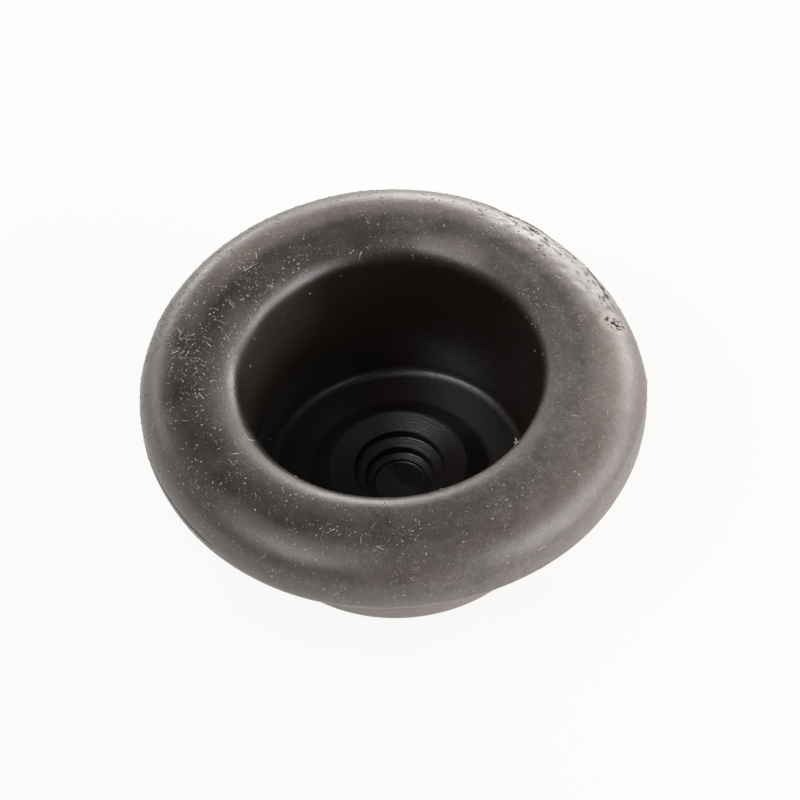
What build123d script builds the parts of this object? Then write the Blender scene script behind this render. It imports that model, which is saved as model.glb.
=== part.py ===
from build123d import *
from math import radians, tan
import os

# Door plug: one moulding of black rubber that closes a round hole in a door panel.
# Millimetres, +Z up along the axis, origin at the centre of the foot.
# The plug stands on the closed end of its cup, and the flange and the cup's mouth are on top.

# Overall
height = 17.0

# Neck, which sits in the panel's hole, and the bead that holds it there
neck_diameter = 26.0
neck_length = 2.0
neck_round = 0.4
bead_height = 1.3
bead_back_length = 0.8
bead_ramp_length = 2.8
bead_round = 0.6

# Flange
flange_overhang = 7.0
flange_thickness = 5.3
shoulder_round = 3.6
underside_round = 1.4

# Barrel below the bead
barrel_inset = 0.1
barrel_draft = 0.3
barrel_round = 1.5
foot_round = 0.7

# Cup
mouth_inset = 1.05
lip_round = 2.0
foot_wall = 2.0
cup_corner_round = 0.7

# Raised ring on the cup's floor, and the stepped pit inside it
ring_height = 1.4
ring_back_width = 1.9
ring_foot_round = 0.8
ring_round = 0.4
dish_width = 1.9
dish_slope = 15.0
pit_tread_width = 0.87
pit_low_tread_width = 0.6
pit_step_drop = 0.75
pit_centre_drop = 0.25
pit_centre_diameter = 4.2
pit_floor_thickness = 1.45

# The two rounds on one side take at most this share of its length
side_used = 0.95

# Diameters
flange_diameter = neck_diameter + 2 * flange_overhang
bead_diameter = neck_diameter + 2 * bead_height
barrel_diameter = neck_diameter - 2 * barrel_inset
foot_diameter = barrel_diameter - 2 * barrel_draft
mouth_diameter = neck_diameter - 2 * mouth_inset
cup_floor_diameter = foot_diameter - 2 * foot_wall
pit_step_diameter = pit_centre_diameter + 2 * pit_low_tread_width
pit_diameter = pit_step_diameter + 2 * pit_tread_width
ring_diameter = pit_diameter + 2 * dish_width
ring_foot_diameter = ring_diameter + 2 * ring_back_width

# Heights of the outside, from the flange down
flange_underside_z = height - flange_thickness
bead_back_z = flange_underside_z - neck_length
bead_z = bead_back_z - bead_back_length
bead_ramp_z = bead_z - bead_ramp_length

# Heights of the cup's floor, from the middle of the pit up and out: every tread has the dish's slope
rise = tan(radians(dish_slope))
pit_centre_rim_z = pit_floor_thickness + pit_centre_drop
pit_low_tread_z = pit_centre_rim_z + pit_low_tread_width * rise
pit_step_z = pit_low_tread_z + pit_step_drop
pit_tread_z = pit_step_z + pit_tread_width * rise
pit_rim_z = pit_tread_z + pit_step_drop
ring_z = pit_rim_z + dish_width * rise
cup_floor_z = ring_z - ring_height


def rounds_that_fit(points, rounds):
    """The corner rounds, made smaller where a side is too short for the rounds at its two ends."""
    count = len(points)
    sides = [points[(i + 1) % count] - points[i] for i in range(count)]
    half_turns = [radians(sides[i - 1].get_angle(sides[i]) / 2) for i in range(count)]
    reaches = [corner_round * tan(half_turn) for corner_round, half_turn in zip(rounds, half_turns)]
    shares = [1.0] * count
    for i in range(count):
        end = (i + 1) % count
        needed = reaches[i] + reaches[end]
        if needed > side_used * sides[i].length:
            share = side_used * sides[i].length / needed
            shares[i] = min(shares[i], share)
            shares[end] = min(shares[end], share)
    return [corner_round * share for corner_round, share in zip(rounds, shares)]


# Half of the section, once round from the middle of the foot: diameter, height and corner round
corners = [
    (0, 0, 0),
    (foot_diameter, 0, foot_round),
    (barrel_diameter, bead_ramp_z, barrel_round),
    (bead_diameter, bead_z, bead_round),
    (neck_diameter, bead_back_z, neck_round),
    (neck_diameter, flange_underside_z, neck_round),
    (flange_diameter, flange_underside_z, underside_round),
    (flange_diameter, height, shoulder_round),
    (mouth_diameter, height, lip_round),
    (cup_floor_diameter, cup_floor_z, cup_corner_round),
    (ring_foot_diameter, cup_floor_z, ring_foot_round),
    (ring_diameter, ring_z, ring_round),
    (pit_diameter, pit_rim_z, 0),
    (pit_diameter, pit_tread_z, 0),
    (pit_step_diameter, pit_step_z, 0),
    (pit_step_diameter, pit_low_tread_z, 0),
    (pit_centre_diameter, pit_centre_rim_z, 0),
    (pit_centre_diameter, pit_floor_thickness, 0),
    (0, pit_floor_thickness, 0),
]
section_points = [Vector(diameter / 2, z) for diameter, z, _ in corners]
section_rounds = rounds_that_fit(section_points, [corner_round for _, _, corner_round in corners])

# The whole plug is that half section turned once about the axis
with BuildPart() as door_plug:
    with BuildSketch(Plane.XZ):
        with BuildLine():
            FilletPolyline(section_points, radius=section_rounds, close=True)
        make_face()
    revolve(axis=Axis.Z)

door_plug.part.label = "door_plug"

os.makedirs("parts", exist_ok=True)
export_step(door_plug.part, "parts/door_plug.step")

print("volume", round(door_plug.part.volume, 1), "mm3")
print("flange", flange_diameter, "mm across, bead", bead_diameter, "mm across")
print("cup", mouth_diameter, "mm at the mouth,", round(cup_floor_diameter, 2), "mm at the floor")
print("cup depth", round(height - cup_floor_z, 2), "mm to the floor")
print("cup depth", round(height - ring_z, 2), "mm to the raised ring")
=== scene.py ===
# %% [markdown]
# # A moulded rubber door plug
#
# A door plug closes a round hole in a sheet-metal door. It is one moulding of black rubber: a thick
# rounded flange that covers the edge of the hole, a neck and a bead that grip the sheet, and a deep
# cup that makes the barrel soft enough to press in. We load the measured model first and keep its
# box, because everything built here has to stay inside it.

# %% Load the measured frame
import math

import bpy
from mathutils import Matrix, Vector


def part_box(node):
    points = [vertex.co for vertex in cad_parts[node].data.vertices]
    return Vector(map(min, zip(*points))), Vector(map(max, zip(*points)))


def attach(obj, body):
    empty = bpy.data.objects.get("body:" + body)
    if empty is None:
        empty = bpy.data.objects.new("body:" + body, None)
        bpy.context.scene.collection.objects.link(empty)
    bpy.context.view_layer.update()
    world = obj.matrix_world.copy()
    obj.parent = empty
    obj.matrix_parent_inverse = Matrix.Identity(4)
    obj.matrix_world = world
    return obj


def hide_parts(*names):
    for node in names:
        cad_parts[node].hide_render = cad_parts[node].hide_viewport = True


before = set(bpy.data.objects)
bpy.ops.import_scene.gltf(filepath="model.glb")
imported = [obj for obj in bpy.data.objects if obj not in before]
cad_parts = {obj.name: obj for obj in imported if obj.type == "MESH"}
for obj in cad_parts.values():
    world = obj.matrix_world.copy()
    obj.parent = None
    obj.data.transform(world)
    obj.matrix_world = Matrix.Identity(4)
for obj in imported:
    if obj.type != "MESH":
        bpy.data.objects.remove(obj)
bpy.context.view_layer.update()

mm = 0.001
_, plug_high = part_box("door_plug")
plug_height = plug_high.z
flange_radius = plug_high.x
print("plug", round(plug_height / mm, 2), "mm high, flange", round(2 * flange_radius / mm, 2), "mm across")

# %% [markdown]
# ## The camera
#
# The picture is taken from about 51 degrees above the bench, close up, with the camera held a little
# off level. The place of the flange's centre in the frame, the scale there and the distance say where
# the camera stands. It is turned to bring the flange to its place, so that its lens needs no shift.

# %% Place the camera
frame_pixels = 800
flange_centre_pixel = (388.9, 363.4)
pixels_per_mm = 12.93
camera_elevation = math.radians(51.3)
camera_roll = math.radians(-5.5)
camera_distance = 225.0 * mm
sensor_width = 36.0


def camera_axes():
    """The camera's right, up and back directions when it looks at the middle of the flange."""
    back = Vector((0, -math.cos(camera_elevation), math.sin(camera_elevation)))
    level_right = Vector((1, 0, 0))
    level_up = back.cross(level_right)
    right = math.cos(camera_roll) * level_right + math.sin(camera_roll) * level_up
    return right, back.cross(right), back


def make_camera():
    right, up, back = camera_axes()
    focal_pixels = pixels_per_mm / mm * camera_distance
    across = (frame_pixels / 2 - flange_centre_pixel[0]) / focal_pixels
    down = (frame_pixels / 2 - flange_centre_pixel[1]) / focal_pixels
    away = (back - across * right + down * up).normalized()
    side = up.cross(away).normalized()
    camera = bpy.data.objects.new("camera", bpy.data.cameras.new("camera"))
    camera.data.sensor_width = sensor_width
    camera.data.lens = sensor_width * focal_pixels / frame_pixels
    place = Vector((0, 0, plug_height)) + back * camera_distance
    turn = Matrix((side, away.cross(side), away)).transposed().to_4x4()
    camera.matrix_world = Matrix.Translation(place) @ turn
    bpy.context.scene.collection.objects.link(camera)
    bpy.context.scene.camera = camera
    return camera


camera = make_camera()
print("camera lens", round(camera.data.lens, 1), "mm")

# %% [markdown]
# ## Building node trees
#
# Both the shapes and the finishes below are node trees. Writing them link by link would hide what
# they do, so one small class wraps a socket and lets Python's own operators add the Math nodes. The
# same class works in a shader tree and in a geometry tree.

# %% A socket that can be used in sums
class Value:
    """A number socket of a node tree, with arithmetic that adds Math nodes."""

    def __init__(self, tree, socket):
        self.tree, self.socket = tree, socket

    def math(self, operation, *others):
        node = self.tree.nodes.new("ShaderNodeMath")
        node.operation = operation
        for socket, value in zip(node.inputs, (self, *others)):
            feed(self.tree, socket, value)
        return Value(self.tree, node.outputs[0])

    def __add__(self, other):
        return self.math("ADD", other)

    def __sub__(self, other):
        return self.math("SUBTRACT", other)

    def __mul__(self, other):
        return self.math("MULTIPLY", other)

    def __truediv__(self, other):
        return self.math("DIVIDE", other)

    def __rsub__(self, other):
        return (self * -1) + other

    __radd__ = __add__
    __rmul__ = __mul__

    def ramp(self, low, high):
        """0 below low, 1 above high and a soft step between. With low above high it falls instead."""
        node = self.tree.nodes.new("ShaderNodeMapRange")
        node.interpolation_type = "SMOOTHSTEP"
        feed(self.tree, node.inputs["Value"], self)
        if low < high:
            node.inputs["From Min"].default_value, node.inputs["From Max"].default_value = low, high
            return Value(self.tree, node.outputs["Result"])
        node.inputs["From Min"].default_value, node.inputs["From Max"].default_value = high, low
        node.inputs["To Min"].default_value, node.inputs["To Max"].default_value = 1.0, 0.0
        return Value(self.tree, node.outputs["Result"])


def feed(tree, socket, value):
    """Gives a node's socket a link or a plain value."""
    if isinstance(value, Value):
        value = value.socket
    if isinstance(value, bpy.types.NodeSocket):
        tree.links.new(value, socket)
    else:
        socket.default_value = value


def add_node(tree, kind, settings=None, **inputs):
    """A node with its settings made first. Input names are written with _ for a space."""
    node = tree.nodes.new(kind)
    for name, setting in (settings or {}).items():
        setattr(node, name, setting)
    for name, value in inputs.items():
        socket = next(s for s in node.inputs if s.name.replace(" ", "_") == name and s.enabled)
        feed(tree, socket, value)
    return node


def result(node, name=None):
    """A node's output as a Value: the named one, or its first."""
    sockets = [s for s in node.outputs if s.enabled]
    return Value(node.id_data, next(s for s in sockets if name in (None, s.name)))


# %% [markdown]
# ## The half section
#
# The plug is round about its axis, so one half section, turned once about that axis, is the whole
# shape. Each corner has its radius, its height and its round, in millimetres, in the sizes of
# the measured model, with the lip and the pit's edges a little rounder. Straight runs and rounds are
# then cut into short steps, fine on the flange, where the light runs over the surface, and coarser
# where the plug is hidden.

# %% The corners of the half section, from the middle of the foot
flange_mm = flange_radius / mm
height_mm = plug_height / mm
flange_thickness, neck_length = 5.3, 2.0
underside_mm = height_mm - flange_thickness
neck_mm = 13.0
pit_round = 0.09
half_section = [
    # radius, height, round, step of the run that starts here
    (0, 0, 0, 1.6),
    (12.6, 0, 0.7, 0.45),
    (12.9, 6.1, 1.5, 0.6),
    (14.3, 8.9, 0.6, 0.5),
    (neck_mm, underside_mm - neck_length, 0.4, 0.5),
    (neck_mm, underside_mm, 0.4, 0.8),
    (flange_mm, underside_mm, 1.4, 0.3),
    (flange_mm, height_mm, 3.6, 0.3),
    (11.95, height_mm, 2.2, 0.5),
    (10.6, 2.7, 0.7, 0.45),
    (7.37, 2.7, 0.8, 0.4),
    (5.47, 4.1, 0.4, 0.35),
    (3.57, 3.59, pit_round, 0.25),
    (3.57, 2.84, pit_round, 0.25),
    (2.7, 2.61, pit_round, 0.25),
    (2.7, 1.86, pit_round, 0.25),
    (2.1, 1.7, pit_round, 0.2),
    (2.1, 1.45, pit_round, 0.5),
    (0, 1.45, 0, 1.0),
]
arc_turn, arc_length = math.radians(22.5), 0.2
edge_step = 0.06


def rounded_outline(corners):
    """Points along the corners' outline, with each round as a tangent arc, in metres."""
    points = []
    for index, (radius, height, corner_round, step) in enumerate(corners):
        here = Vector((radius, height))
        if corner_round == 0:
            points.append((here, step))
            continue
        before = Vector(corners[index - 1][:2])
        after = Vector(corners[index + 1][:2])
        inward = (here - before).normalized()
        outward = (after - here).normalized()
        turn = inward.angle_signed(outward)
        start = here - inward * corner_round * math.tan(abs(turn) / 2)
        side = Vector((inward.y, -inward.x)) * (1 if turn > 0 else -1)
        centre = start + side * corner_round
        count = math.ceil(max(abs(turn) / arc_turn, abs(turn) * corner_round / arc_length))
        for part in range(count + 1):
            spoke = start - centre
            spoke.rotate(Matrix.Rotation(-turn * part / count, 2))
            points.append((centre + spoke, step if part == count else None))
    return fill_runs(points)


def fill_runs(points):
    """Cuts each straight run into steps, with one point close to each of its ends to keep them crisp."""
    filled = []
    for (here, step), (following, _) in zip(points, points[1:]):
        filled.append(here)
        length = (following - here).length
        if step is None or length < 3 * edge_step:
            continue
        count = max(1, round(length / step))
        near = edge_step / length
        shares = [near] + [part / count for part in range(1, count)] + [1 - near]
        filled += [here.lerp(following, share) for share in shares]
    filled.append(points[-1][0])
    return [point * mm for point in filled]


section = rounded_outline(half_section)
print("half section", len(section), "points")

# %% [markdown]
# ## Turning the section
#
# A turned shape follows a rule, so Geometry Nodes can make it: one grid, whose rows are the points of
# the section and whose columns are the slices round the axis. Each grid point looks up its section
# point and goes to its own azimuth. The advantage over a Screw modifier is that the rule can also say
# where the real moulding isn't round. Its flange is a few tenths of a millimetre out of round, its
# mouth is a little off the axis, with a lip that droops at the left and the back, it has slow soft
# lumps, and a worn, torn patch on its outer shoulder, where the slices crowd together so that the
# small tears are real shapes. None of that goes past the measured box: the radius is capped at the
# flange's, and lumps and tears only sink into the surface.

# %% Sizes of what isn't perfectly round
slices = 390
crowding, crowded_azimuth = 0.5, math.radians(35)
out_of_round = [
    # waves round the flange, cosine part and sine part in millimetres
    (2, -0.10, -0.31),
    (3, 0.035, -0.11),
    (4, -0.01, -0.08),
]
flange_radii, flange_heights = (14.4, 18.0), (11.0, 11.6)
mouth_shift = 0.14
mouth_radii, wall_radii, wall_heights = (15.4, 12.0), (11.0, 11.4), (9.0, 14.0)
left_droop, left_cosines = 0.26, (0.1, 0.95)
back_droop, back_sines = 0.14, (-0.5, 0.6)
droop_heights = (13.5, 15.5)
skin_allowance = 0.03
merge_distance = 0.002
foot_heights = (0.3, 1.2)
lump_size, lump_depth = 5.0, 0.10
ripple_size, ripple_depth = 1.3, 0.02
tear_size, tear_depth, tear_noise = 0.7, 0.07, (0.42, 0.8)
scar_size, scar_depth, scar_noise = 1.5, 0.07, (0.40, 0.65)
wear_from, wear_to, wear_fade = math.radians(8), math.radians(64), 0.2
wear_radii, wear_heights = (14.8, 17.4), (12.5, 14.5)


def wear(radius, azimuth, height):
    """1 on the worn patch of the outer shoulder, 0 away from it. Sizes in millimetres."""
    along = azimuth.ramp(wear_from, wear_from + wear_fade) * azimuth.ramp(wear_to, wear_to - wear_fade)
    return along * radius.ramp(*wear_radii) * height.ramp(*wear_heights)


def towards(azimuth, middle, none, full):
    """1 near the azimuth called middle, falling to 0. none and full are cosines of the angle to it."""
    return (azimuth - middle).math("COSINE").ramp(none, full)


def polar(place):
    """Radius, azimuth and height, in millimetres and radians, of a position socket in metres."""
    axes = add_node(place.tree, "ShaderNodeSeparateXYZ", Vector=place)
    x, y, z = (Value(place.tree, socket) / mm for socket in axes.outputs)
    return (x * x + y * y).math("SQRT"), y.math("ARCTAN2", x), z


# %% Small helpers for geometry trees
socket_kinds = {int: "NodeSocketInt", float: "NodeSocketFloat", bpy.types.Material: "NodeSocketMaterial"}


def geometry_tree(name, sizes):
    """An empty tree with a geometry input and output and one named input for each size."""
    tree = bpy.data.node_groups.new(name, "GeometryNodeTree")
    tree.interface.new_socket("Geometry", in_out="INPUT", socket_type="NodeSocketGeometry")
    tree.interface.new_socket("Geometry", in_out="OUTPUT", socket_type="NodeSocketGeometry")
    for label, value in sizes.items():
        tree.interface.new_socket(label, in_out="INPUT", socket_type=socket_kinds[type(value)])
    start = tree.nodes.new("NodeGroupInput")
    end = tree.nodes.new("NodeGroupOutput")
    return tree, {s.name: Value(tree, s) for s in start.outputs if s.name}, end


def bake_tree(piece_name, source_mesh, tree, sizes):
    """Runs a tree on a mesh once and returns the result as a plain object with no modifier."""
    carrier = bpy.data.objects.new(piece_name + "_carrier", source_mesh)
    bpy.context.scene.collection.objects.link(carrier)
    modifier = carrier.modifiers.new("shape", "NODES")
    modifier.node_group = tree
    for item in tree.interface.items_tree:
        if item.in_out == "INPUT" and item.name in sizes:
            modifier[item.identifier] = sizes[item.name]
    evaluated = carrier.evaluated_get(bpy.context.evaluated_depsgraph_get())
    mesh = bpy.data.meshes.new_from_object(evaluated)
    mesh.name = piece_name
    bpy.data.objects.remove(carrier)
    piece = bpy.data.objects.new(piece_name, mesh)
    bpy.context.scene.collection.objects.link(piece)
    return piece


def noise(tree, place, size, detail=2.0, seed=0.0):
    """Noise from about 0 to 1 with features of the given size in millimetres."""
    texture = add_node(
        tree, "ShaderNodeTexNoise", {"noise_dimensions": "4D"},
        Vector=place, W=seed, Scale=1 / (size * mm), Detail=detail,
    )
    return Value(tree, texture.outputs[0])


# %% [markdown]
# The tree turns the section first and sinks the lumps and tears into it afterwards, along the normals
# of the turned surface. The foot is left flat, so that the plug stands.

# %% The tree that turns the section
def turned_tree(sizes):
    tree, given, end = geometry_tree("turned_moulding", sizes)
    section_rows = given["Geometry"]
    place = result(add_node(tree, "GeometryNodeInputPosition"))
    index = result(add_node(tree, "GeometryNodeInputIndex"))
    counted = add_node(
        tree, "GeometryNodeAttributeDomainSize", {"component": "MESH"}, Geometry=section_rows,
    )
    rows = result(counted, "Point Count")
    grid = add_node(tree, "GeometryNodeMeshGrid", Vertices_X=given["Slices"] + 1, Vertices_Y=rows)

    looked_up = add_node(
        tree, "GeometryNodeSampleIndex", {"data_type": "FLOAT_VECTOR", "domain": "POINT"},
        Geometry=section_rows, Value=place, Index=index.math("MODULO", rows),
    )
    azimuth = (index / rows).math("FLOOR") / given["Slices"] * math.tau
    azimuth = azimuth - (azimuth - crowded_azimuth).math("SINE") * given["Crowding"]
    axes = add_node(tree, "ShaderNodeSeparateXYZ", Vector=result(looked_up))
    radius, height = Value(tree, axes.outputs["X"]) / mm, Value(tree, axes.outputs["Z"]) / mm

    bulge = 0
    for waves, cosine_part, sine_part in out_of_round:
        angle = azimuth * waves
        bulge = bulge + angle.math("COSINE") * cosine_part + angle.math("SINE") * sine_part
    on_flange = radius.ramp(*flange_radii) * height.ramp(*flange_heights)
    at_mouth = radius.ramp(*mouth_radii) * radius.ramp(*wall_radii) * height.ramp(*wall_heights)
    closer = (azimuth.math("COSINE") - 1) * (at_mouth * mouth_shift)
    left = (azimuth.math("COSINE") * -1).ramp(*left_cosines)
    behind = azimuth.math("SINE").ramp(*back_sines)
    droop = (left * left_droop + behind * back_droop) * at_mouth
    droop = droop * height.ramp(*droop_heights) * given["Out of round"]
    shift = (bulge * on_flange + closer) * given["Out of round"]
    radius = (radius + shift).math("MINIMUM", flange_mm) * mm
    turned = add_node(
        tree, "ShaderNodeCombineXYZ",
        X=radius * azimuth.math("COSINE"), Y=radius * azimuth.math("SINE"), Z=(height - droop) * mm,
    )
    moved = add_node(
        tree, "GeometryNodeSetPosition", Geometry=result(grid, "Mesh"), Position=result(turned),
    )
    closed = add_node(
        tree, "GeometryNodeMergeByDistance", Geometry=result(moved), Distance=merge_distance * mm,
    )

    radius, azimuth, height = polar(place)
    above_foot = height.ramp(*foot_heights)
    lumps = noise(tree, place, lump_size, seed=1.0) * given["Lump depth"]
    ripples = noise(tree, place, ripple_size, seed=2.0) * given["Ripple depth"]
    torn = noise(tree, place, tear_size, detail=3.0, seed=4.0).ramp(*tear_noise)
    scars = noise(tree, place, scar_size, detail=1.0, seed=5.0).ramp(*scar_noise) * given["Scar depth"]
    torn = (torn * given["Tear depth"] + scars) * wear(radius, azimuth, height)
    inwards = add_node(
        tree, "ShaderNodeVectorMath", {"operation": "SCALE"},
        Vector=result(add_node(tree, "GeometryNodeInputNormal")),
        Scale=(lumps + ripples + torn + skin_allowance) * above_foot * -mm,
    )
    shaped = add_node(tree, "GeometryNodeSetPosition", Geometry=result(closed), Offset=result(inwards))
    smooth = add_node(tree, "GeometryNodeSetShadeSmooth", Geometry=result(shaped))
    single = add_node(tree, "GeometryNodeRealizeInstances", Geometry=result(smooth))
    coated = add_node(tree, "GeometryNodeSetMaterial", Geometry=result(single), Material=given["Material"])
    tree.links.new(coated.outputs[0], end.inputs[0])
    return tree


# %% [markdown]
# ## The rubber
#
# Moulded rubber is nearly black, a little warm, and neither glossy nor flat. Part of what the eye reads as
# grey is a thin film of dust and bloom that lies unevenly on it, with fine pale specks in it, and part is
# painted light. So the colour is one black, mixed with a pale colour by a mask. Some of the mask follows
# the form: painted light on the right, the back and the outer shoulder of the flange, on its rim, the
# barrel, the foot, the front of the lip and the cup's wall, and painted shade on the front crest. The rest
# is noise. The pits, the crack and the scratches are a second mask, which darkens the colour with painted
# shade, roughens it and sinks the bump, and painted shade darkens the left of the cup's floor. A painted
# picture could say the same, but it would need unwrapping, and it couldn't be changed by one number.

# %% Colours of the rubber and the film's patches
rubber_black = (0.0135, 0.0097, 0.0080, 1.0)
# The colour of painted shade, in the hollows and on the left of the cup's floor.
painted_shade_black = (0.004, 0.0036, 0.0034, 1.0)
# The pale colour of the dust film, which the painted light uses too.
dust_and_light_tone = (0.328, 0.276, 0.252, 1.0)
worn_film = (0.38, 0.355, 0.34, 1.0)

# A patch is a share and where it lies. Pairs of radii and heights in millimetres run from none to
# full. Its side is an azimuth in degrees, with the cosines of the angles to it from none to full.
# Painted light: paler at the outer shoulder, at the back, on the right and at the front right of the
# flange, and paler on its lower rim, the barrel and the foot.
outer_painted_light = [
    {"share": 0.10, "radius": (15.8, 18.8)},
    {"share": 0.36, "radius": (15.0, 16.5), "fade": (19.6, 17.2), "side": (90, 0.1, 0.9)},
    {"share": 0.31, "radius": (14.8, 16.6), "fade": (20.0, 17.4), "side": (14, 0.66, 1.0)},
    {"share": 0.10, "radius": (14.2, 16.6), "side": (-36, 0.75, 1.0)},
    {"share": 0.14, "radius": (18.6, 19.6), "height": (14.4, 12.4)},
    {"share": 0.10, "height": (11.0, 8.0)},
    {"share": 0.42, "height": (3.0, 0.8)},
]
# A pale patch on the lip at the back right, a painted highlight on the front of the lip, and painted light
# on the cup's wall at the back left.
mouth_pale_patches = [
    {"share": 0.30, "radius": (12.0, 12.5), "fade": (14.2, 13.2), "side": (63, 0.955, 0.995)},
    {"share": 0.07, "radius": (12.2, 12.8), "fade": (14.8, 13.4), "side": (-90, 0.4, 1.0)},
    {"share": 0.07, "radius": (12.5, 11.9), "height": (7.0, 12.0), "side": (146, 0.8, 1.0)},
]
# Painted shade: less of the pale tone on the crest at the front left, which makes a dark band.
crest_painted_shade = [{"share": 0.45, "radius": (14.0, 15.4), "fade": (17.4, 16.2), "side": (-120, 0.2, 0.9)}]
soft_lip = [
    {"share": 0.17, "radius": (12.2, 12.8), "fade": (14.8, 13.4), "side": (0, 0.2, 0.8)},
    {"share": 0.17, "radius": (12.2, 12.8), "fade": (14.8, 13.4), "side": (180, 0.2, 0.8)},
]
# Painted shade: the left of the cup's floor is darker, and it is rougher as well.
floor_painted_shade = [{"share": 1.0, "radius": (12.2, 11.8), "height": (8.0, 5.5), "side": (225, -0.6, 0.3)}]


def spread(patches, radius, azimuth, height):
    """The sum of some patches as one mask."""
    total = 0
    for patch in patches:
        mask = patch["share"]
        for name, coordinate in (("radius", radius), ("fade", radius), ("height", height)):
            if name in patch:
                mask = coordinate.ramp(*patch[name]) * mask
        if "side" in patch:
            middle, none, full = patch["side"]
            mask = mask * towards(azimuth, math.radians(middle), none, full)
        total = mask + total
    return total


print("film patches", len(outer_painted_light) + len(mouth_pale_patches))

# %% Noise masks of the film and the marks
noise_masks = {
    # size in millimetres, detail, seed, and the noise where the mask starts and where it is full
    "clouds": (3.4, 4.0, 7.0, 0.36, 0.66),
    "mottle": (0.55, 3.0, 8.0, 0.40, 0.72),
    "specks": (0.14, 1.0, 10.0, 0.58, 0.72),
    "speck drifts": (1.8, 1.0, 16.0, 0.35, 0.65),
    "stipple": (0.17, 1.5, 9.0, 0.56, 0.74),
    "crack parts": (0.9, 2.0, 12.0, 0.42, 0.52),
    "scratches": (0.26, 2.0, 15.0, 0.58, 0.66),
    "pit groups": (1.4, 2.0, 13.0, 0.50, 0.60),
    "cluster pits": (0.36, 3.0, 17.0, 0.50, 0.58),
}


def noise_mask(tree, place, name):
    size, detail, seed, none, full = noise_masks[name]
    return noise(tree, place, size, detail=detail, seed=seed).ramp(none, full)


def distance_mm(tree, place, point):
    apart = add_node(tree, "ShaderNodeVectorMath", {"operation": "DISTANCE"})
    feed(tree, apart.inputs[0], place)
    apart.inputs[1].default_value = point
    return result(apart, "Value") / mm


def cells(tree, place, size):
    """Distance from the nearest of many scattered points, about 0 to 1, with cells of the given size."""
    texture = add_node(tree, "ShaderNodeTexVoronoi", Vector=place, Scale=1 / (size * mm))
    return result(texture, "Distance")


def mix_colour(tree, factor, low, high):
    node = add_node(tree, "ShaderNodeMix", {"data_type": "RGBA"})
    for socket, value in ((node.inputs[0], factor), (node.inputs[6], low), (node.inputs[7], high)):
        feed(tree, socket, value)
    return Value(tree, node.outputs[2])


def shader_tree(name):
    material = bpy.data.materials.new(name)
    material.use_nodes = True
    tree = material.node_tree
    place = Value(tree, tree.nodes.new("ShaderNodeTexCoord").outputs["Object"])
    return material, tree, tree.nodes["Principled BSDF"], place


print("noise masks", len(noise_masks))

# %% [markdown]
# The worn patch has a broken crack that wanders round the shoulder, short scratches that run round the
# flange, and scattered pits. Beside it is one close cluster of pits with a pale ring, and the rim has
# a short dark seam on its left. What made these marks isn't known, so only their look is copied.

# %% Marks of wear: the crack, the scratches, the pits and the seam
crack_radius, crack_half_width, crack_wander = 18.5, (0.16, 0.03), 0.9
crack_bend_size = 2.2
scratch_radii, scratch_stretch = (16.8, 18.0), 5.0
pit_size, pit_width = 0.60, (0.34, 0.14)
cluster_place = (17.6 * mm, 2.3 * mm, 16.0 * mm)
cluster_reach, cluster_ring = (1.2, 0.72), (1.5, 1.08)
seam_height, seam_half_width = 13.6, (0.14, 0.05)
seam_radii, seam_azimuth, seam_side = (19.0, 19.4), math.radians(-156), (0.93, 0.985)


def worn_hollows(tree, place, worn):
    """1 in the crack, the scratches, the pits and the seam, 0 elsewhere."""
    radius, azimuth, height = polar(place)
    wander = noise(tree, place, crack_bend_size, detail=3.0, seed=11.0) - 0.5
    crack = (radius - (wander * crack_wander + crack_radius)).math("ABSOLUTE").ramp(*crack_half_width)
    crack = crack * noise_mask(tree, place, "crack parts")
    along = add_node(
        tree, "ShaderNodeCombineXYZ", X=azimuth * scratch_stretch * mm, Y=radius * mm, Z=height * mm,
    )
    scratches = noise_mask(tree, result(along), "scratches") * radius.ramp(*scratch_radii)
    pits = cells(tree, place, pit_size).ramp(*pit_width) * noise_mask(tree, place, "pit groups")
    in_patch = (crack + scratches + pits).math("MINIMUM", 1.0) * worn
    cluster = distance_mm(tree, place, cluster_place).ramp(*cluster_reach)
    cluster = cluster * noise_mask(tree, place, "cluster pits")
    seam = (height - seam_height).math("ABSOLUTE").ramp(*seam_half_width)
    seam = seam * towards(azimuth, seam_azimuth, *seam_side) * radius.ramp(*seam_radii)
    return in_patch.math("MAXIMUM", cluster).math("MAXIMUM", seam)


print("crack at radius", crack_radius, "mm")

# %% [markdown]
# Painted light makes the colour paler towards the right of the plug, on top of an even film of dust, and
# hardly any of the film lies in the cup. The mottling and the stipple grow with both.

# %% How thick the film lies
# Painted light: the colour swings paler towards the right, on top of the even film of dust.
lit_side_azimuth, even_film, lit_side_swing = math.radians(-12), 0.105, 0.065
outside_radii = (11.7, 12.6)
cloud_share, speck_share = 0.06, 0.38
mottle_share, stipple_share, cup_stipple = 0.8, 1.5, 0.015
worn_share, worn_mottle = 0.18, 0.16
ring_share = 0.30


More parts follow.
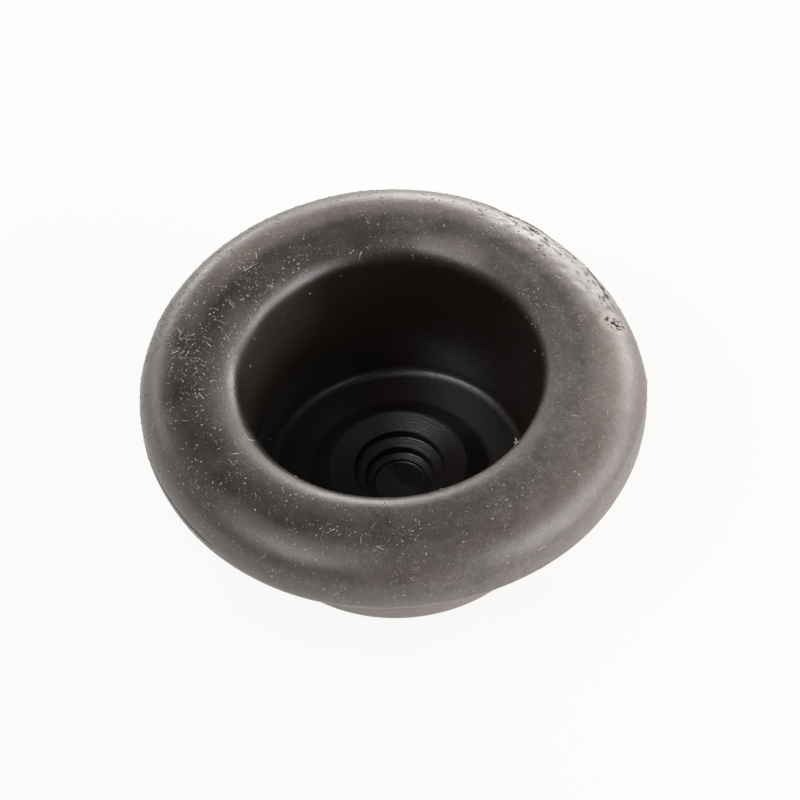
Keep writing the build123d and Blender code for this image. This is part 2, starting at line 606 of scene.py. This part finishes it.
def film_and_painted_light(tree, place, worn, side, outside_cup):
    """How pale the colour is, from 0 for clean black rubber to 1: dust, with painted light, and less on
    the front crest, which is painted shade.
    """
    radius, azimuth, height = polar(place)
    where = (radius, azimuth, height)
    mottle, stipple = noise_mask(tree, place, "mottle"), noise_mask(tree, place, "stipple")
    specks = noise_mask(tree, place, "specks") * noise_mask(tree, place, "speck drifts")
    # The even dust, with painted light towards the right and in the patches round the outside.
    film_and_light = side + spread(outer_painted_light, *where) + noise_mask(tree, place, "clouds") * cloud_share
    film_and_light = film_and_light + side * (mottle * mottle_share + stipple * stipple_share)
    # Painted shade thins the pale tone on the front crest.
    film_and_light = (film_and_light * (1 - spread(crest_painted_shade, *where)) + specks * speck_share) * outside_cup
    film_and_light = film_and_light + spread(mouth_pale_patches, *where) + stipple * cup_stipple
    ring = distance_mm(tree, place, cluster_place).ramp(*cluster_ring)
    return film_and_light + worn * (mottle * worn_mottle + worn_share) + ring * ring_share


print("film before patches", round(even_film - lit_side_swing, 2), "to", round(even_film + lit_side_swing, 2))

# %% [markdown]
# The material puts the masks together. Its bump holds a fine grain, fine rings in the dish and the
# pit, and the hollows.

# %% The rubber's material
rubber_gloss, rubber_roughness = 0.8, 0.27
worn_paleness = 0.8
# The hollows get painted shade as well as roughness and a sunk bump.
hollow_painted_shade, hollow_roughness, hollow_depth = 0.95, 0.6, 0.12
floor_darkness, floor_roughness = 0.8, 0.40
film_clearance, cloud_roughness = 0.05, 0.06
grain_size, grain_height, mottle_height = 0.11, 0.016, 0.006
mark_spacing, mark_height = 0.2992, 0.0018
mark_radii, mark_heights = (5.6, 5.3), (5.0, 4.4)


def rubber_material():
    material, tree, surface, place = shader_tree("moulded_rubber")
    radius, azimuth, height = polar(place)
    where = (radius, azimuth, height)
    surface.inputs["Specular IOR Level"].default_value = rubber_gloss
    worn = wear(*where)
    hollow = worn_hollows(tree, place, worn)
    # Painted light: paler towards the right, over the even film of dust.
    side = (azimuth - lit_side_azimuth).math("COSINE") * lit_side_swing + even_film
    outside_cup = radius.ramp(*outside_radii)
    floor_shade = spread(floor_painted_shade, *where)

    film_and_light = film_and_painted_light(tree, place, worn, side, outside_cup)
    # The pale colour that the dust, the wear and the painted light share.
    dust_wear_and_light_tone = mix_colour(tree, worn * worn_paleness, dust_and_light_tone, worn_film)
    clean = mix_colour(tree, film_and_light, rubber_black, dust_wear_and_light_tone)
    # Painted shade in the hollows and on the left of the cup's floor.
    darkened = (hollow * hollow_painted_shade).math("MAXIMUM", floor_shade * floor_darkness)
    feed(tree, surface.inputs["Base Color"], mix_colour(tree, darkened, clean, painted_shade_black))

    roughness = (side - film_clearance) * outside_cup + rubber_roughness + spread(soft_lip, *where)
    roughness = roughness + floor_shade * floor_roughness + hollow * hollow_roughness
    clouds, mottle = noise_mask(tree, place, "clouds"), noise_mask(tree, place, "mottle")
    feed(tree, surface.inputs["Roughness"], roughness + clouds * cloud_roughness)

    marks = (radius * (math.tau / mark_spacing)).math("SINE")
    marks = marks * radius.ramp(*mark_radii) * height.ramp(*mark_heights)
    grain = noise(tree, place, grain_size, seed=14.0) * grain_height + mottle * mottle_height
    height_map = grain + marks * mark_height - hollow * hollow_depth
    bump = add_node(tree, "ShaderNodeBump", Strength=1.0, Distance=mm, Height=height_map)
    feed(tree, surface.inputs["Normal"], result(bump))
    return material


rubber = rubber_material()
print("rubber finish", len(rubber.node_tree.nodes), "nodes")

# %% Turn the section and give it the finish
section_mesh = bpy.data.meshes.new("half_section")
edges = [(index, index + 1) for index in range(len(section) - 1)]
section_mesh.from_pydata([(point.x, 0, point.y) for point in section], edges, [])
body_sizes = {
    "Slices": slices,
    "Crowding": crowding,
    "Out of round": 1.0,
    "Lump depth": lump_depth,
    "Ripple depth": ripple_depth,
    "Tear depth": tear_depth,
    "Scar depth": scar_depth,
    "Material": rubber,
}
plug = bake_tree("plug_moulding", section_mesh, turned_tree(body_sizes), body_sizes)
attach(plug, "root")
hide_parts("door_plug")
triangles = sum(len(face.vertices) - 2 for face in plug.data.polygons)
print("plug moulding", triangles, "triangles")

# %% [markdown]
# ## Dust and fibres
#
# Pale grains and short fibres cling to the rubber. They are real little shapes, so they catch the
# light from any side. One tree scatters both: it spreads points over the plug, thicker where the dust
# has gathered, and puts a copy of a small shape on each, lying flat and turned at random. The finest
# specks stay in the finish above, because as shapes they would cost many thousands of faces.

# %% The tree that scatters small things on the plug
plug_area = sum(face.area for face in plug.data.polygons)
smallest_copy = 0.35
drift_size, drift_noise, thin_dust, drift_dust = 2.6, (0.42, 0.68), 0.15, 1.4
dusty_azimuth, even_dust, dust_swing = math.radians(153), 0.75, 0.35
dusty_cosines = (0.75, 1.0)
patch_azimuth, patch_dust = math.radians(35), 0.6
patch_cosines, patch_radii = (0.7, 1.0), (17.6, 16.6)
top_heights, top_radii = (11.5, 13.5), (11.8, 12.6)
low_heights, low_dust = (0.3, 0.9), 0.01


def gathered(tree, place, focus):
    """Where dust gathers: on the flange, more to the upper left, in drifts, and hardly below it."""
    radius, azimuth, height = polar(place)
    drifts = noise(tree, place, drift_size, seed=21.0).ramp(*drift_noise) * drift_dust + thin_dust
    side = (azimuth - dusty_azimuth).math("COSINE") * dust_swing + even_dust
    side = side + towards(azimuth, dusty_azimuth, *dusty_cosines) * focus
    by_patch = towards(azimuth, patch_azimuth, *patch_cosines) * radius.ramp(*patch_radii)
    side = side + by_patch * patch_dust
    on_flange = height.ramp(*top_heights) * radius.ramp(*top_radii)
    return drifts * side * (on_flange + height.ramp(*low_heights) * low_dust)


def scattered_tree(name, sizes, small_shape):
    """Copies of a small shape on the incoming surface. small_shape(tree, given) makes the shape."""
    tree, given, end = geometry_tree(name, sizes)
    place = result(add_node(tree, "GeometryNodeInputPosition"))
    density = gathered(tree, place, given["Focus"]) * given["Count"] / plug_area
    points = add_node(
        tree, "GeometryNodeDistributePointsOnFaces", {"distribute_method": "RANDOM"},
        Mesh=given["Geometry"], Density=density, Seed=given["Seed"],
    )
    chance = result(add_node(tree, "FunctionNodeRandomValue", Seed=given["Seed"] + 1))
    scale = chance * chance * (1 - smallest_copy) + smallest_copy
    copies = add_node(
        tree, "GeometryNodeInstanceOnPoints", Points=result(points, "Points"),
        Instance=small_shape(tree, given), Rotation=result(points, "Rotation"), Scale=scale,
    )
    spin = add_node(tree, "FunctionNodeRandomValue", Max=math.tau, Seed=given["Seed"] + 2)
    turn = add_node(tree, "ShaderNodeCombineXYZ", Z=result(spin))
    turned = add_node(
        tree, "GeometryNodeRotateInstances", Instances=result(copies), Rotation=result(turn),
    )
    single = add_node(tree, "GeometryNodeRealizeInstances", Geometry=result(turned))
    coated = add_node(tree, "GeometryNodeSetMaterial", Geometry=result(single), Material=given["Material"])
    tree.links.new(coated.outputs[0], end.inputs[0])
    return tree


print("plug surface", round(plug_area / mm**2), "mm2")

# %% [markdown]
# A grain needs few faces, because it is only a few pixels wide. A fibre is a thin tube along an arc.

# %% The shapes of a grain and a fibre
grain_proportions = (1.4, 0.75, 0.55)
fibre_bend = math.radians(24)
fibre_points, fibre_sides = 9, 5


def grain_shape(tree, given):
    """A flattened ball of few faces."""
    ball = add_node(tree, "GeometryNodeMeshIcoSphere", Radius=given["Radius"], Subdivisions=1)
    flat = add_node(tree, "GeometryNodeTransform", Geometry=result(ball, "Mesh"), Scale=grain_proportions)
    return result(flat)


def fibre_shape(tree, given):
    """A thin tube along an arc of fibre_bend, with its middle at the origin."""
    arc = add_node(
        tree, "GeometryNodeCurveArc", Resolution=fibre_points, Radius=given["Bend radius"],
        Start_Angle=-fibre_bend / 2, Sweep_Angle=fibre_bend,
    )
    to_point = add_node(tree, "ShaderNodeCombineXYZ", X=given["Bend radius"] * -1)
    centred = add_node(
        tree, "GeometryNodeTransform", Geometry=result(arc, "Curve"), Translation=result(to_point)
    )
    thread = add_node(
        tree, "GeometryNodeCurvePrimitiveCircle", Resolution=fibre_sides, Radius=given["Radius"],
    )
    tube = add_node(
        tree, "GeometryNodeCurveToMesh", Curve=result(centred), Profile_Curve=result(thread, "Curve"),
        Fill_Caps=True,
    )
    return result(tube)


print("fibre bend", round(math.degrees(fibre_bend)), "degrees")

# %% Scatter the grains and the fibres
grain_sizes = {"Count": 19000.0, "Focus": 0.6, "Radius": 0.104 * mm, "Seed": 5}
fibre_sizes = {
    "Count": 1500.0, "Focus": 3.5, "Bend radius": 1.7 * mm, "Radius": 0.023 * mm, "Seed": 9,
}
dull_dust = (0.22, 0.20, 0.18, 1)
dust_colour, lint_colour = (0.40, 0.36, 0.32, 1), (0.85, 0.80, 0.74, 1)
shade_size, shade_noise, dust_roughness = 0.8, (0.3, 0.7), 0.9


def dust_material(name, colour):
    """Dull dust in some places and the given colour in others, so that the grains differ."""
    material, tree, surface, place = shader_tree(name)
    shade = noise(tree, place, shade_size, seed=31.0).ramp(*shade_noise)
    feed(tree, surface.inputs["Base Color"], mix_colour(tree, shade, dull_dust, colour))
    surface.inputs["Roughness"].default_value = dust_roughness
    return material


dust = dust_material("pale_dust", dust_colour)
lint = dust_material("pale_lint", lint_colour)


def scatter(piece_name, small_shape, sizes):
    tree = scattered_tree(piece_name + "_tree", sizes, small_shape)
    piece = bake_tree(piece_name, plug.data.copy(), tree, sizes)
    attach(piece, "root")
    print(piece_name, len(piece.data.polygons), "faces")


scatter("dust_grains", grain_shape, {**grain_sizes, "Material": dust})
scatter("dust_fibres", fibre_shape, {**fibre_sizes, "Material": lint})

# %% [markdown]
# A few longer whiskers stand together on the front edge of the mouth. They are the same fibre, put at
# chosen places instead of scattered ones.

# %% Whiskers on the edge of the mouth
whiskers = [
    # azimuth in degrees, lean in degrees, turn in degrees
    (-42.5, 55, 20),
    (-43.6, 80, 75),
    (-41.8, 35, 130),
]
whisker_place_radius, whisker_place_height = 12.35 * mm, 16.30 * mm


def whisker_tree(sizes):
    tree, given, end = geometry_tree("placed_whiskers", sizes)
    lean = add_node(tree, "GeometryNodeInputNamedAttribute", {"data_type": "FLOAT_VECTOR"}, Name="lean")
    copies = add_node(
        tree, "GeometryNodeInstanceOnPoints", Points=given["Geometry"],
        Instance=fibre_shape(tree, given), Rotation=result(lean),
    )
    single = add_node(tree, "GeometryNodeRealizeInstances", Geometry=result(copies))
    coated = add_node(tree, "GeometryNodeSetMaterial", Geometry=result(single), Material=given["Material"])
    tree.links.new(coated.outputs[0], end.inputs[0])
    return tree


def whisker_places():
    """One vertex for each whisker, on the lip, with its lean as an attribute."""
    mesh = bpy.data.meshes.new("whisker_places")
    points = []
    for degrees, _, _ in whiskers:
        turn = math.radians(degrees)
        x = whisker_place_radius * math.cos(turn)
        y = whisker_place_radius * math.sin(turn)
        points.append((x, y, whisker_place_height))
    mesh.from_pydata(points, [], [])
    leans = mesh.attributes.new("lean", "FLOAT_VECTOR", "POINT")
    for item, (_, lean, turn) in zip(leans.data, whiskers):
        item.vector = (math.radians(lean), 0, math.radians(turn))
    return mesh


whisker_sizes = {"Bend radius": 2.2 * mm, "Radius": 0.035 * mm, "Material": lint}
whisker_piece = bake_tree("mouth_whiskers", whisker_places(), whisker_tree(whisker_sizes), whisker_sizes)
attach(whisker_piece, "root")
print("mouth whiskers", len(whisker_piece.data.polygons), "faces")

# %% [markdown]
# ## Floor, light and background
#
# The plug stands on a plain table. Its own colour is white, and for camera, glossy and transmission
# rays it glows as well, so that it looks white without more light on the plug. A small part of its own
# shading stays, and with it a faint shadow.

# %% The table
floor_size = 3.0
table_white, table_roughness, glow_share = (0.88, 0.88, 0.87, 1), 0.8, 0.88
glow_white = (1.0, 0.998, 0.99, 1)


def table_material():
    material, tree, surface, place = shader_tree("white_table")
    surface.inputs["Base Color"].default_value = table_white
    surface.inputs["Roughness"].default_value = table_roughness
    glow = tree.nodes.new("ShaderNodeEmission")
    glow.inputs["Color"].default_value = glow_white
    path = tree.nodes.new("ShaderNodeLightPath")
    seen = Value(tree, path.outputs["Is Camera Ray"])
    for other in ("Is Glossy Ray", "Is Transmission Ray"):
        seen = seen.math("MAXIMUM", Value(tree, path.outputs[other]))
    mixed = tree.nodes.new("ShaderNodeMixShader")
    feed(tree, mixed.inputs[0], seen * glow_share)
    tree.links.new(surface.outputs[0], mixed.inputs[1])
    tree.links.new(glow.outputs[0], mixed.inputs[2])
    tree.links.new(mixed.outputs[0], tree.nodes["Material Output"].inputs["Surface"])
    return material


floor_mesh = bpy.data.meshes.new("table")
half = floor_size / 2
floor_corners = [(-half, -half, 0), (half, -half, 0), (half, half, 0), (-half, half, 0)]
floor_mesh.from_pydata(floor_corners, [], [(0, 1, 2, 3)])
floor_mesh.materials.append(table_material())
table = bpy.data.objects.new("table", floor_mesh)
bpy.context.scene.collection.objects.link(table)
print("table", floor_size, "m across")

# %% [markdown]
# A black thing with a sheen shows its surroundings, so they are what shapes it. The light is a room of
# a few soft patches: a low band from the front right round the back, which is weakest at the left, and
# two patches higher up on the left. Each is a smooth lobe round its direction, which has no hard edge
# to show up as a stripe in the rubber. Area lamps could light it too, but their edges would show in
# the sheen. Camera and transmission rays see this room as plain white, and glossy rays see its patches.

# %% The soft room
room_level, room_colour = 0.02, (1, 0.985, 0.97, 1)
room_patches = [
    # azimuth, elevation, sharpness, brightness
    (322, 18, 22, 8.0),
    (0, 17, 45, 8.0),
    (40, 14, 45, 11.0),
    (80, 16, 45, 8.0),
    (75, 6, 40, 4.0),
    (112, 9, 40, 5.5),
    (143, 13, 30, 2.7),
    (172, 18, 22, 0.5),
    (215, 46, 40, 6.4),
    (180, 70, 40, 2.0),
]


def soft_room():
    """A world whose brightness is the sum of smooth lobes, and which is seen directly as white."""
    world = bpy.data.worlds.new("soft_room")
    world.use_nodes = True
    tree = world.node_tree
    direction = Value(tree, tree.nodes.new("ShaderNodeTexCoord").outputs["Generated"])
    light = room_level
    for azimuth, elevation, sharpness, brightness in room_patches:
        turn, tilt = math.radians(azimuth), math.radians(elevation)
        way = (math.cos(tilt) * math.cos(turn), math.cos(tilt) * math.sin(turn), math.sin(tilt))
        closeness = add_node(tree, "ShaderNodeVectorMath", {"operation": "DOT_PRODUCT"})
        feed(tree, closeness.inputs[0], direction)
        closeness.inputs[1].default_value = way
        light = light + ((result(closeness, "Value") - 1) * sharpness).math("EXPONENT") * brightness
    path = tree.nodes.new("ShaderNodeLightPath")
    seen = Value(tree, path.outputs["Is Camera Ray"])
    seen = seen.math("MAXIMUM", Value(tree, path.outputs["Is Transmission Ray"]))
    background = tree.nodes["Background"]
    background.inputs["Color"].default_value = room_colour
    feed(tree, background.inputs["Strength"], light + (1 - light) * seen)
    return world


bpy.context.scene.world = soft_room()
bpy.context.scene.view_settings.view_transform = "Standard"
print("room patches", len(room_patches))
